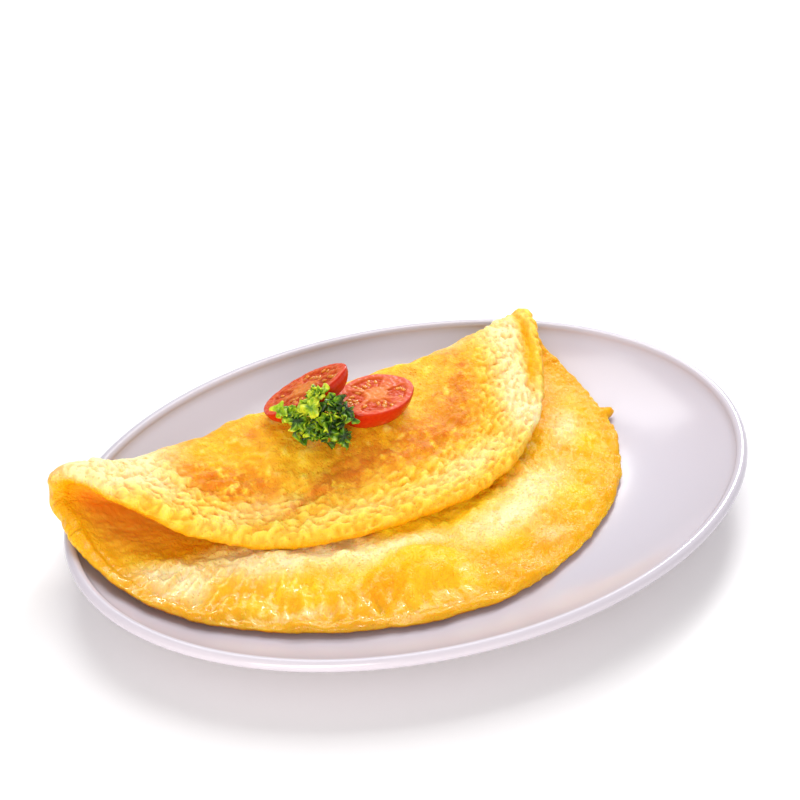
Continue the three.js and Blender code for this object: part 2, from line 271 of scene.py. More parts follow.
def sheet_middle(p, q):
    """Where the sheet's middle lies from its flat place: flat on the dish below the bend, a half circle in
    the bend, and above it a flap that eases down as (1 - t)^2 (1 + 2t) until it lies on the lower layer."""
    x = p + CENTRE_X
    bend = along_fold(BEND_RADII, x) - SHEET_THICKNESS / 2
    half_bend = np.pi / 2 * bend
    fold_base = layer_height(x, np.full_like(x, FOLD_Y))
    y_lower = FOLD_Y + np.minimum(q + half_bend, 0)
    turn = np.clip(q / bend, -np.pi / 2, np.pi / 2)
    along = np.maximum(q - half_bend, 0)
    y_flap = FOLD_Y - along * FLAP_DRAW
    lying = layer_height(x, y_flap) + SHEET_THICKNESS + LAYER_GAP
    t = np.clip(along / along_fold(FLAP_REACH, x), 0, 1)
    lift = (1 - t) ** 2 * (1 + 2 * t)
    lower, flap = q < -half_bend, q > half_bend
    y = np.where(lower, y_lower, np.where(flap, y_flap, FOLD_Y + bend * np.cos(turn)))
    z_bend = fold_base + bend * (1 + np.sin(turn))
    z_flap = lying + (fold_base + 2 * bend - lying) * lift
    z = np.where(lower, layer_height(x, y_lower), np.where(flap, z_flap, z_bend))
    return np.stack([x, y, z], -1)


LATTICE = 97
LATTICE_GAIN = 1.6


def lumps(x, y, cell, seed):
    """Smooth random relief from about -1 to 1: at each corner of a turned lattice, a cell apart, a slope of
    seeded direction, and between the corners an eased blend of the four slopes' heights."""
    slope = np.random.default_rng(seed).uniform(0, 2 * np.pi, (LATTICE, LATTICE))
    u = (x * np.cos(seed) + y * np.sin(seed)) / cell + LATTICE / 2
    v = (y * np.cos(seed) - x * np.sin(seed)) / cell + LATTICE / 2
    i, j = np.floor(u).astype(int), np.floor(v).astype(int)
    s, t = u - i, v - j

    def corner(a, b):
        """Height at this point of the slope through one corner."""
        way = slope[(i + a) % LATTICE, (j + b) % LATTICE]
        return np.cos(way) * (s - a) + np.sin(way) * (t - b)

    ease_s, ease_t = s**3 * (s * (6 * s - 15) + 10), t**3 * (t * (6 * t - 15) + 10)
    low = corner(0, 0) + (corner(1, 0) - corner(0, 0)) * ease_s
    high = corner(0, 1) + (corner(1, 1) - corner(0, 1)) * ease_s
    return LATTICE_GAIN * (low + (high - low) * ease_t)


def waves(x, y, rows):
    """The sum of several fields of lumps, one for each row."""
    return sum(height * lumps(x, y, cell, seed) for height, cell, seed in rows)


def smoothstep(low, high, value):
    """0 below low, 1 above high and an eased rise between them."""
    t = np.clip((value - low) / (high - low), 0, 1)
    return t * t * (3 - 2 * t)


def bell(value, middle, width):
    """A bump of height 1 round a middle value."""
    return np.exp(-(((value - middle) / width) ** 2))


MEAN_RADIUS = 108.0
SHEET_SECTIONS = 300
TIP_CROWDING = 0.3
TIP_BOW = 48.0
OUTER_STEPS = (26, 34, 84)
INNER_STEPS = (100, 16, 26)
EDGE_STEPS = 18

# Shares of a section: where the bend may start, the least that it takes up and where it ends at the latest.
BEND_STARTS = (0.3, 0.56)
BEND_LEAST = 0.12
BEND_LAST = 0.8

# The torn tab's place and width are angles in radians, and its length and the ripples' depth are sizes.
TORN_TAB_ANGLE = np.radians(-16.8)
TORN_TAB_WIDTH = 0.017
TORN_TAB_LENGTH = 3.6
RIPPLE_DEPTH = 14.0

# Random relief of the edge and of both skins: rows of height, cell and seed, in millimetres.
EDGE_RIPPLES = ((0.7, 14, 11), (0.5, 5, 12), (0.3, 2.4, 13))
EDGE_KNOBS = ((0.6, 4.6, 14), (0.4, 2.3, 15))
OUTSIDE_WAVES = ((1.0, 30, 21), (0.9, 12, 22), (0.6, 7, 26))
INSIDE_WAVES = ((1.2, 22, 31), (1.4, 9, 32))


def outline_reach(angle):
    """How far the real edge stands past its plain curve: ripples as the egg ran, and one torn tab."""
    ripple = waves(MEAN_RADIUS * np.cos(angle), MEAN_RADIUS * np.sin(angle), EDGE_RIPPLES)
    return ripple + TORN_TAB_LENGTH * bell(angle, TORN_TAB_ANGLE, TORN_TAB_WIDTH)


def outline_points(angle, reach):
    """Points p and q of the plain outline at angles from +X, its rounding drawn in, and then moved out by
    a reach."""
    radius = round_loop(SHEET_RADII, angle) - EDGE_ROUNDING + reach
    return radius * np.cos(angle), CENTRE_Q + radius * np.sin(angle)


def rim_distance(p, q):
    """Distance in from the plain outline, along the radius."""
    return round_loop(SHEET_RADII, np.arctan2(q - CENTRE_Q, p)) - np.hypot(p, q - CENTRE_Q)


def rippled(p, q):
    """Flat points moved out along their radius by the edge's ripples, which fade away further in."""
    reach = outline_reach(np.arctan2(q - CENTRE_Q, p)) * smoothstep(RIPPLE_DEPTH, 2, rim_distance(p, q))
    grown = 1 + reach / np.maximum(np.hypot(p, q - CENTRE_Q), 1)
    return p * grown, CENTRE_Q + (q - CENTRE_Q) * grown


def edge_reach(angle, turn):
    """How far the rounded edge stands out at a turn from the outer skin: a half circle with curds on it."""
    knobs = waves(MEAN_RADIUS * angle, EDGE_ROUNDING * np.cos(turn), EDGE_KNOBS)
    knobs = knobs * (0.4 + 0.6 * smoothstep(0, 0.4, angle))
    return (EDGE_ROUNDING + knobs) * np.sin(turn)


def shares_across(start, end, steps):
    """Shares of the way from the front to the flap's edge, with so many steps before the bend, in it and
    after it."""
    before, bend, after = [np.arange(count) / count for count in steps]
    last = np.ones_like(start)
    return np.concatenate([start * before, start + (end - start) * bend, end + (1 - end) * after, last], 1)


def sheet_flat():
    """The flat place p and q and the height w, from 1 on the outer skin to -1 on the inner one, of each
    point of each section. A section runs along the outer skin, round the flap's edge and back. Near the
    tips it bows inwards as sin a cos^4 a, so that it meets the outline at an angle."""
    share = np.arange(1, SHEET_SECTIONS) / SHEET_SECTIONS
    angle = (np.pi * share - TIP_CROWDING * np.sin(2 * np.pi * share))[:, None]
    front_p, front_q = outline_points(-angle, 0)
    back_p, back_q = outline_points(angle, 0)
    half_bend = np.pi / 2 * (along_fold(BEND_RADII, back_p + CENTRE_X) - SHEET_THICKNESS / 2)
    width = back_q - front_q
    start = np.clip((-half_bend - front_q) / width, *BEND_STARTS)
    end = np.clip((half_bend - front_q) / width, start + BEND_LEAST, BEND_LAST)
    outer = shares_across(start, end, OUTER_STEPS)
    inner = shares_across(start, end, INNER_STEPS)[:, ::-1]
    turn = np.pi * np.arange(1, EDGE_STEPS + 1) / (EDGE_STEPS + 1)
    edge_p, edge_q = outline_points(angle, edge_reach(angle, turn))
    foot_p, foot_q = outline_points(-angle, edge_reach(-angle, turn))
    bow = TIP_BOW * np.sin(angle) * np.cos(angle) ** 4 * np.sign(np.cos(angle))
    outer_p = front_p + (back_p - front_p) * outer - bow * np.sin(np.pi * outer)
    inner_p = front_p + (back_p - front_p) * inner - bow * np.sin(np.pi * inner)
    p = np.concatenate([outer_p, edge_p, inner_p, foot_p], 1)
    q = np.concatenate([front_q + width * outer, edge_q, front_q + width * inner, foot_q], 1)
    p, q = rippled(p, q)
    turned = np.broadcast_to(np.cos(turn), edge_p.shape)
    return p, q, np.concatenate([np.ones_like(outer), turned, -np.ones_like(inner), -turned], 1)


PILLOW_GAIN = 1.9
PILLOW_LEVEL = 0.85
CREASE_ROUNDING = 0.03


def pillows(p, q, cell, seed):
    """Pillows between sharp creases: a random field's distance from zero, with its point rounded off."""
    return PILLOW_GAIN * np.sqrt(lumps(p, q, cell, seed) ** 2 + CREASE_ROUNDING) - PILLOW_LEVEL


def curds(p, q):
    """Fine relief of both skins, from about -1 to 1: large and small pillows, broken up by grit."""
    return 0.55 * pillows(p, q, 5.2, 23) + 0.45 * pillows(p, q, 2.9, 24) + 0.3 * lumps(p, q, 1.9, 25)


def rolled_corner(p, q):
    """How much a point lies in the trough behind the flap's right corner, where the edge curls up."""
    angle = np.degrees(np.arctan2(q - CENTRE_Q, p))
    width = 1.2 + 1.4 * smoothstep(12, 30, angle)
    return bell(rim_distance(p, q), 5.6, width) * smoothstep(12, 27, angle) * smoothstep(45, 38, angle)


# Mounds and hollows of the inner skin on the flat sheet: p, q, length, breadth, turn in degrees and height.
MOUNDS = [
    (-9, -101, 10, 14, -10, 3.4), (-31, -101, 9, 8, 0, -1.8), (9, -112, 6, 10, 0, -1.5),
    (28, -100, 18, 8, 10, 1.3), (-44, -74, 18, 8, -20, 1.1), (-66, -74, 8, 7, 0, -0.9),
    (-94, -46, 12, 7, -30, 1.4), (-80, -60, 6, 10, 20, 0.9), (52, -88, 16, 7, 20, 1.2),
    (84, -52, 16, 7, 60, 1.2), (70, -70, 14, 5, 40, -1.2), (-2, -74, 16, 5, 0, 0.9),
]
TROUGH_DEPTH = 1.9
THINNED_EDGE = 3.4
GROOVE_DEPTH = 0.6
RELIEF_SPREAD = 1.7


def depth_of(patches, p, q):
    """The sum of the patches at each point: each is a bell over a turned oval."""
    depth = np.zeros_like(p)
    for centre_p, centre_q, length, breadth, degrees, strength in patches:
        turn = np.radians(degrees)
        u = (p - centre_p) * np.cos(turn) + (q - centre_q) * np.sin(turn)
        v = (q - centre_q) * np.cos(turn) - (p - centre_p) * np.sin(turn)
        depth += strength * np.exp(-((u / length) ** 2) - (v / breadth) ** 2)
    return depth


def egg_relief(p, q, w):
    """How far each skin stands out of the plain sheet: broad waves and curds, kept low where the sheet lies
    on the plate or on itself. The inner skin also has ridges that run in from the edge, where it ran and
    set, and a groove just inside its edge."""
    lying = smoothstep(-14, -4, q)
    rim = rim_distance(p, q)
    round_rim = MEAN_RADIUS * np.arctan2(q - CENTRE_Q, p)
    flap_curds = (0.7 + 1.6 * smoothstep(36, 16, rim)) * (0.3 + 0.7 * smoothstep(6, 26, q)) * curds(p, q)
    outside = waves(p, q, OUTSIDE_WAVES) + flap_curds
    outside = outside * (0.1 + 0.9 * lying) - TROUGH_DEPTH * rolled_corner(p, q)
    front_left = smoothstep(20, -50, p)
    streaks = lumps(round_rim, rim * 0.35, 3.6, 35) * smoothstep(34, 18, rim) * smoothstep(1, 6, rim)
    groove = bell(rim + 0.8 * lumps(p, q, 9, 36), 4.2, 1.0) * smoothstep(40, 0, p)
    thin_edge = THINNED_EDGE * smoothstep(22, 1, rim) + GROOVE_DEPTH * groove
    inside = waves(p, q, INSIDE_WAVES) + curds(p, q) + depth_of(MOUNDS, p, q)
    inside = inside + (0.7 + 1.6 * front_left) * streaks
    inside = inside * (1 - 0.75 * smoothstep(-58, -38, q)) * (1 - 0.5 * lying)
    thinned = thin_edge * smoothstep(-10, -40, q) * (1 - w) / 2
    outer_share, inner_share = np.clip(RELIEF_SPREAD * w, 0, 1), np.clip(RELIEF_SPREAD * w, -1, 0)
    return outer_share * outside + inner_share * inside + thinned


def sheet_surface(p, q, w):
    """The folded skin: the sheet's middle, moved along its normal by half the thickness and the relief."""
    step = 0.5
    along_p = sheet_middle(p + step, q) - sheet_middle(p - step, q)
    along_q = sheet_middle(p, q + step) - sheet_middle(p, q - step)
    normal = np.cross(along_q, along_p)
    normal /= np.linalg.norm(normal, axis=-1, keepdims=True)
    out = SHEET_THICKNESS / 2 * w + egg_relief(p, q, w)
    return sheet_middle(p, q) + normal * out[..., None]


# Patches of colour on the flat sheet: place p and q, length, breadth, turn in degrees and strength.
BROWN_PATCHES = [
    (-49, 38, 13, 7, 25, 1.3), (-61, 25, 13, 5, 55, 0.7), (-8, 50, 15, 8, -20, 1.1),
    (-26, 54, 26, 2.2, -8, 1.0), (24, 50, 18, 8, -5, 1.3), (44, 40, 14, 8, -40, 1.2),
    (57, 24, 13, 5, -65, 1.0), (50, 6, 12, 4, 0, 0.8), (-8, 33, 16, 8, 0, 0.5),
    (-36, 22, 9, 6, 30, 0.5), (-50, 12, 16, 5, 0, 0.3), (72, 8, 8, 4, 60, 0.6),
    (40, -14, 30, 10, 0, 0.7), (-40, -20, 34, 9, 5, 0.7), (0, -60, 50, 30, 0, 0.5),
]
PALE_PATCHES = [
    (-90, 12, 26, 12, -10, 1.8), (-78, 27, 14, 8, 45, 0.7), (86, 20, 13, 8, -45, 1.2),
    (72, 44, 17, 8, -60, 1.2), (66, 12, 10, 6, 0, 0.5), (70, 57, 9, 8, -50, 0.8),
    (34, 67, 22, 6, -12, 0.6), (-20, 68, 34, 6, 5, 0.3), (-52, 50, 20, 6, 10, 0.5),
]
# Cream patches: partly paler, creamier curds and partly a painted highlight where the moist inner skin
# shines.
CREAM_AND_SHEEN_PATCHES = [
    (-44, -72, 22, 8, -20, 1.0), (-62, -60, 14, 8, -30, 0.8), (-92, -53, 12, 7, -30, 1.1),
    (-8, -86, 15, 4, -8, 0.8), (27, -94, 18, 8, 5, 0.9), (52, -82, 18, 9, 20, 0.8),
    (86, -58, 12, 7, 40, 0.7), (-88, -60, 12, 8, 30, 0.9), (-60, -96, 16, 3, -25, 0.7),
    (40, -108, 8, 5, 0, 0.4), (-26, -80, 8, 10, 0, 0.5),
]
# Amber patches: painted shade, a deeper orange mostly along the lower layer's front edge, in the mouth of the
# fold and on its right side.
AMBER_SHADE_PATCHES = [
    (-34, -101, 15, 9, -5, 1.1), (10, -113, 7, 11, 0, 1.0), (36, -112, 20, 9, 20, 1.2),
    (74, -72, 20, 6, 45, 0.7), (96, -38, 16, 12, 60, 0.9), (-98, -30, 20, 9, -25, 1.0),
    (-74, -42, 18, 7, -25, 1.0), (78, -92, 12, 8, 60, 0.7), (-68, -76, 9, 6, -20, 0.6),
    (40, -70, 10, 5, 20, 0.5),
]
WET_PATCHES = [
    (-94, -50, 26, 17, -35, 1.0), (-72, -82, 26, 12, -35, 1.0), (-30, -114, 34, 8, -10, 0.8),
]
EGG_MARKS = ("skin", "rim", "brown", "pale", "cream_and_sheen", "amber", "crest", "fold_glow", "yolk", "wet", "contact_shade")


def layered(tree, base, layers):
    """Colours laid over a base one after another. Each row has an amount, the low and high values that
    spread it over 0 to most, most itself and a colour."""
    tint = linear(base)
    for amount, low, high, most, colour in layers:
        share = add(tree, "MapRange", {"Value": amount, "From Min": low, "From Max": high, "To Max": most})
        tint = add(tree, "Mix", {"Factor": share, "A": tint, "B": linear(colour)}, data_type="RGBA")
    return tint


def pan_cooked_egg():
    """Egg set in butter. Fat and protein scatter light, so it glows yellow from within. The pan side is dry
    and pitted with bubbles, drawn coarser than they are so that they show, and the inner side is moist, so
    it catches small white highlights."""
    material, tree, output = new_material("pan-cooked beaten egg")
    flat = add(tree, "Attribute", attribute_name="flat_place", attribute_type="GEOMETRY").outputs["Vector"]
    read = {
        name: add(tree, "Attribute", attribute_name=name, attribute_type="GEOMETRY").outputs["Fac"]
        for name in EGG_MARKS
    }
    noise = {
        name: add(tree, "TexNoise", {
            "Vector": flat, "W": seed, "Scale": 1 / (size_mm * MM), "Detail": detail, "Roughness": 0.58,
        }, noise_dimensions="4D").outputs["Fac"]
        for name, size_mm, detail, seed in (
            ("mottle", 10.0, 4, 1.0),
            ("curd", 4.0, 3, 2.0),
            ("grain", 1.2, 2, 3.0),
        )
    }
    bubble = add(tree, "TexVoronoi", {"Vector": flat, "Scale": 1 / (1.5 * MM)}).outputs["Distance"]
    pit = add(tree, "MapRange", {"Value": bubble, "From Min": 0.32, "From Max": 0.08})
    mixed = add(tree, "Math", {0: noise["mottle"], 1: noise["curd"]}, operation="ADD")
    spread = {
        name: add(tree, "MapRange", {"Value": amount, "From Min": low, "From Max": high, "To Max": most})
        for name, amount, low, high, most in (
            ("blotches", mixed, 0.8, 1.2, 1.7),
            ("flecks", mixed, 0.6, 1.0, 1.0),
            ("valleys", read["crest"], 0.5, -0.4, 1.0),
            ("cream_sheen_spread", read["cream_and_sheen"], 0.1, 0.9, 1.0),
            ("any_cream_sheen", read["cream_and_sheen"], 0.1, 0.5, 1.0),
            ("droplets", noise["curd"], 0.28, 0.46, 1.0),
            ("wet", read["wet"], 0.0, 0.8, 1.0),
        )
    }
    scorch, cream_and_sheen, dry_pits, cream_pits, film = [
        add(tree, "Math", {0: amount, 1: gate}, operation="MULTIPLY")
        for amount, gate in (
            (read["brown"], spread["blotches"]),
            (spread["cream_sheen_spread"], spread["flecks"]),
            (pit, spread["valleys"]),
            (pit, spread["any_cream_sheen"]),
            (spread["droplets"], spread["wet"]),
        )
    ]
    outer = layered(tree, "#F7B81A", [
        (noise["mottle"], 0.4, 0.6, 1.0, "#FDD02E"),
        (read["rim"], 36, 16, 0.85, "#FED850"),
        # Lighter on the relief's crests and darker in its valleys: painted highlight and painted shade that
        # follow the relief.
        (read["crest"], 0.0, 0.7, 0.8, "#FFE078"),
        (read["crest"], 0.0, -0.5, 0.8, "#F2A812"),
        (scorch, 0.0, 0.75, 0.9, "#DA7C10"),
        (scorch, 0.9, 1.7, 0.6, "#C8680C"),
        (read["pale"], 0.1, 1.1, 0.9, "#FFEEB8"),
        # Darker again in the valleys: painted shade.
        (read["crest"], -0.1, -0.6, 0.55, "#F2B024"),
        (dry_pits, 0.0, 1.0, 0.45, "#DE9A20"),
        (read["yolk"], 0.0, 1.0, 1.0, "#F8B40A"),
        # Painted shade: darker orange along the pan-side edge of the lower layer, where it meets the plate.
        (read["contact_shade"], 0.0, 1.0, 1.0, "#C8780E"),
    ])
    inner = layered(tree, "#F9B612", [
        (noise["mottle"], 0.4, 0.6, 1.0, "#FEC922"),
        # Painted shade: the amber patches.
        (read["amber"], 0.1, 1.0, 0.8, "#F2A20A"),
        # Painted highlight and paler curds: the cream patches, broken up into flecks.
        (cream_and_sheen, 0.0, 1.0, 1.0, "#FFE4A8"),
        # Painted highlight on the relief's crests.
        (read["crest"], 0.1, 0.9, 0.4, "#FFD858"),
        (cream_pits, 0.0, 1.0, 0.45, "#E8A030"),
        # Painted shade: darker orange in the last few millimetres of the inner skin before its edge.
        (read["rim"], 10, 3, 0.9, "#ECA80A"),
        # Painted glow: inside the fold the egg is given a warm orange that stands in for light passing
        # through the sheet.
        (read["fold_glow"], 0.0, 1.0, 1.0, "#FFB434"),
    ])
    tint = add(tree, "Mix", {"Factor": read["skin"], "A": inner, "B": outer}, data_type="RGBA")
    rough = add(tree, "Mix", {"Factor": read["skin"], "A": 0.36, "B": 0.5})
    fine = add(tree, "Math", {0: pit, 1: -0.5, 2: noise["grain"]}, operation="MULTIPLY_ADD")
    height = add(tree, "Math", {0: noise["curd"], 1: 1.8, 2: fine}, operation="MULTIPLY_ADD")
    strength = add(tree, "Mix", {"Factor": read["fold_glow"], "A": 0.7, "B": 0.2})
    bump = add(tree, "Bump", {"Height": height, "Strength": strength, "Distance": 0.65 * MM})
    shader = add(tree, "BsdfPrincipled", {
        "Base Color": tint,
        "Roughness": rough,
        "Normal": bump,
        "IOR": 1.35,
        "Specular IOR Level": 0.3,
        "Coat Weight": film,
        "Coat Roughness": 0.1,
        "Coat IOR": 1.34,
        "Subsurface Weight": 0.55,
        "Subsurface Radius": (1.0, 0.3, 0.04),
        "Subsurface Scale": 8 * MM,
    })
    tree.links.new(shader.outputs[0], output.inputs["Surface"])
    return material


def store(piece, name, values):
    """Keeps one number for each vertex as a named attribute."""
    piece.data.attributes.new(name, "FLOAT", "POINT").data.foreach_set("value", values.astype(np.float32))


def omelette_piece():
    """Builds the folded sheet and stores each point's flat place and what its finish reads: which skin it is,
    its distance to the rim, the patches, the fine relief and how deep it lies in the fold."""
    p, q, w = sheet_flat()
    tip_p, tip_q = rippled(*outline_points(np.array([0.0, np.pi]), EDGE_ROUNDING))
    tips = sheet_surface(tip_p, tip_q, np.zeros(2))
    points, faces = closed_body(tips[0], sheet_surface(p, q, w), tips[1])
    piece = new_piece("omelette_egg", points, faces, pan_cooked_egg(), "egg", ["omelette"])

    p = np.concatenate([tip_p[:1], p.ravel(), tip_p[1:]])
    q = np.concatenate([tip_q[:1], q.ravel(), tip_q[1:]])
    w = np.concatenate([[0], w.ravel(), [0]])
    rim = rim_distance(p, q)
    inside_fold = smoothstep(-48, -20, q) * smoothstep(3, 12, rim) * smoothstep(0.3, -0.3, w)
    underside = 0.9 * smoothstep(0, -20, q) * smoothstep(-0.9, 0.5, w)
    store(piece, "skin", smoothstep(-0.6, 0.6, w))
    store(piece, "rim", np.maximum(rim, 0))
    store(piece, "brown", depth_of(BROWN_PATCHES, p, q))
    store(piece, "pale", depth_of(PALE_PATCHES, p, q))
    # Cream patches: partly paler curds, partly painted highlight.
    store(piece, "cream_and_sheen", depth_of(CREAM_AND_SHEEN_PATCHES, p, q))
    store(piece, "wet", np.clip(depth_of(WET_PATCHES, p, q), 0, 1))
    # Painted shade: the amber patches.
    store(piece, "amber", depth_of(AMBER_SHADE_PATCHES, p, q))
    store(piece, "crest", curds(p, q))
    store(piece, "yolk", np.clip(rolled_corner(p, q) + underside, 0, 1))
    # Painted glow inside the fold, half as strong towards the right end.
    store(piece, "fold_glow", inside_fold * (1 - 0.5 * smoothstep(40, 80, p)))
    # Painted shade along the lower layer's edge where it meets the plate.
    store(piece, "contact_shade", smoothstep(0.0, 0.6, w) * smoothstep(3, 1, rim) * smoothstep(-20, -60, q))
    flat_place = (np.stack([p, q, w * SHEET_THICKNESS / 2], 1) * MM).astype(np.float32).ravel()
    piece.data.attributes.new("flat_place", "FLOAT_VECTOR", "POINT").data.foreach_set("vector", flat_place)


omelette_piece()


# Tomato slices
# Two thick slices of plum tomato, cut across with a sharp knife. A smooth red peel rounds in below each cut
# face, and the face shows the wall, the pale core and the wet seed chambers between them.

SLICES = {
    "right": dict(centre=(-1.2, 24.4, 43.6), normal=(0.02, -0.17, 0.985), along=(1, 0.02, 0),
                  half_length=15.8, half_width=10.8, thickness=8.2, taper=2.2, turn=0.5, seed=55),
    "left": dict(centre=(-26.4, 34.5, 49.7), normal=(-0.3455, 0.2835, 0.895), along=(0.8636, -0.277, 0.421),
                 half_length=17.3, half_width=10.6, thickness=7.4, taper=4.2, turn=0.2, seed=54),
}
SLICE_STATIONS = 160
CHAMBERS = 4
CHAMBER_SINK = 0.6
CORE_SHARES = (0.26, 0.42)
WALL_SHARES = (0.84, 0.74)
CUT_ROUNDING = 0.5
PEEL_SHOULDER = 0.08
TAPER_POWER = 2.1
SEED_HALF_SIZES = (1.25, 0.78, 0.42)
SEED_PINCH = 0.35
SEED_SHARES = (0.42, 0.78)
SEED_TRIES = 400
SEEDS_MOST = 26


def placement(centre, normal, along):
    """Axes as rows, Z along a normal and X as near a direction as can be, and the place of the origin."""
    z = np.array(normal, float) / np.linalg.norm(normal)
    y = np.cross(z, along)
    y /= np.linalg.norm(y)
    return np.stack([np.cross(y, z), y, z]), np.array(centre, float)


def chamber_depth(share, angle, turn):
    """How much a point of the cut face lies in a seed chamber: within the wall, off the core and off the
    ribs, which are where a cosine round the face is near its peaks."""
    wobble = 0.6 * np.sin(2 * angle + 1.3 + turn) + 0.5 * np.sin(5 * angle + turn) + 0.3 * np.sin(9 * angle)
    between_ribs = smoothstep(0.72, 0.35, np.cos(CHAMBERS * (angle - turn + 0.3 * wobble)))
    off_core = smoothstep(*CORE_SHARES, share + 0.05 * wobble)
    return off_core * smoothstep(*WALL_SHARES, share) * between_ribs


def lobed_oval(half_length, half_width, angle, turn):
    """Points of an oval whose reach swings a little, three and five times on the way round."""
    lobe = 1 + 0.018 * np.cos(3 * angle + turn) + 0.012 * np.cos(5 * angle)
    return half_length * lobe * np.cos(angle), half_width * lobe * np.sin(angle)


def slice_points(share, angle, size):
    """The cut face: a lobed oval, its chambers sunk and its flesh barely uneven, but level near its edge."""
    x, y = lobed_oval(size["half_length"] * share, size["half_width"] * share, angle, size["turn"])
    sunk = chamber_depth(share, angle, size["turn"])
    relief = -CHAMBER_SINK * sunk + 0.3 * lumps(x, y, 1.7, 41) + 0.3 * sunk * lumps(x, y, 1.1, 42)
    return x, y, relief * smoothstep(1.0, 0.93, share)


def slice_mesh(size):
    """Rings from the middle of the cut face out to its edge, then down the peel, which draws in as a power
    of the way down, and in under the slice. With them go each point's marks for the finish."""
    angle = np.linspace(0, 2 * np.pi, SLICE_STATIONS, endpoint=False)
    share = np.linspace(0.02, 0.965, 56)[:, None]
    fall = np.linspace(0, 1, 26)[1:, None]
    base = np.linspace(0.95, 0.1, 8)[:, None]
    face_x, face_y, face_z = slice_points(share, angle, size)
    depth = size["thickness"]
    rounding = CUT_ROUNDING * (1 - fall / PEEL_SHOULDER) ** 2
    below = np.clip(fall - PEEL_SHOULDER, 0, 1) / (1 - PEEL_SHOULDER)
    inset = np.where(fall < PEEL_SHOULDER, rounding, size["taper"] * below**TAPER_POWER)
    side_x, side_y = lobed_oval(size["half_length"] - inset, size["half_width"] - inset, angle, size["turn"])
    side_z = np.broadcast_to(-depth * fall, side_x.shape)
    base_z = np.full((len(base), SLICE_STATIONS), -depth)
    x = np.concatenate([face_x, side_x, base * side_x[-1]])
    y = np.concatenate([face_y, side_y, base * side_y[-1]])
    z = np.concatenate([face_z, side_z, base_z])
    points, faces = closed_body([0, 0, 0.0], np.stack([x, y, z], -1), [0, 0, -depth])
    unsunk = np.zeros((len(fall) + len(base), SLICE_STATIONS))
    columns = (
        ("cut_face", 1.0, [np.ones_like(share), np.zeros_like(fall), np.ones_like(base)]),
        ("radius", 0.0, [share, np.ones_like(fall), base]),
        ("chamber", 0.0, [chamber_depth(share, angle, size["turn"]), unsunk]),
    )
    marks = {
        name: np.concatenate([[pole], np.broadcast_to(np.concatenate(parts), x.shape).ravel(), [pole]])
        for name, pole, parts in columns
    }
    return points, faces, marks


def ripe_tomato():
    """Ripe plum tomato. The peel is a waxy orange-red, the cut wall a paler pink-red that lets light in,
    the core pale orange and the chambers a deeper, wet orange-red."""
    material, tree, output = new_material("ripe plum tomato")
    place = add(tree, "TexCoord").outputs["Object"]
    cut, radius, chamber = [
        add(tree, "Attribute", attribute_name=name, attribute_type="GEOMETRY").outputs["Fac"]
        for name in ("cut_face", "radius", "chamber")
    ]
    fibre = add(tree, "TexNoise", {"Vector": place, "Scale": 1 / (1.4 * MM), "Detail": 3.0}).outputs["Fac"]
    inside = layered(tree, "#CC421C", [
        (fibre, 0.3, 0.7, 1.0, "#DC702E"),
        (radius, 0.62, 0.15, 0.75, "#E08C3A"),
        (radius, 0.84, 0.93, 0.7, "#DC5640"),
        (chamber, 0.1, 0.9, 0.8, "#C8400E"),
    ])
    peel = layered(tree, "#BE240A", [(fibre, 0.3, 0.7, 1.0, "#CA340E")])
    tint = add(tree, "Mix", {"Factor": cut, "A": peel, "B": inside}, data_type="RGBA")
    bump = add(tree, "Bump", {"Height": fibre, "Strength": 0.35, "Distance": 0.25 * MM})
    rough = add(tree, "Mix", {"Factor": cut, "A": 0.16, "B": 0.38})
    shader = add(tree, "BsdfPrincipled", {
        "Base Color": tint,
        "Roughness": rough,
        "Normal": bump,
        "IOR": 1.4,
        "Specular IOR Level": 0.3,
        "Subsurface Weight": 0.3,
        "Subsurface Radius": (1.0, 0.25, 0.1),
        "Subsurface Scale": 2.5 * MM,
    })
    tree.links.new(shader.outputs[0], output.inputs["Surface"])
    return material


def tomato_seed_coat():
    """A seed in its jelly: amber, and wet enough to glint."""
    material, tree, output = new_material("tomato seed in jelly")
    shader = add(tree, "BsdfPrincipled", {
        "Base Color": linear("#DE8426"),
        "Roughness": 0.2,
        "IOR": 1.4,
        "Subsurface Weight": 0.3,
        "Subsurface Radius": (1.0, 0.4, 0.1),
        "Subsurface Scale": 1.0 * MM,
    })
    tree.links.new(shader.outputs[0], output.inputs["Surface"])
    return material


def joined(bodies):
    """Several bodies' points and faces as one, each face's numbers moved past the points before its body."""
    every_point, every_face, count = [], [], 0
    for points, faces in bodies:
        every_point.append(points)
        every_face += [[index + count for index in face] for face in faces]
        count += len(points)
    return np.concatenate(every_point), every_face


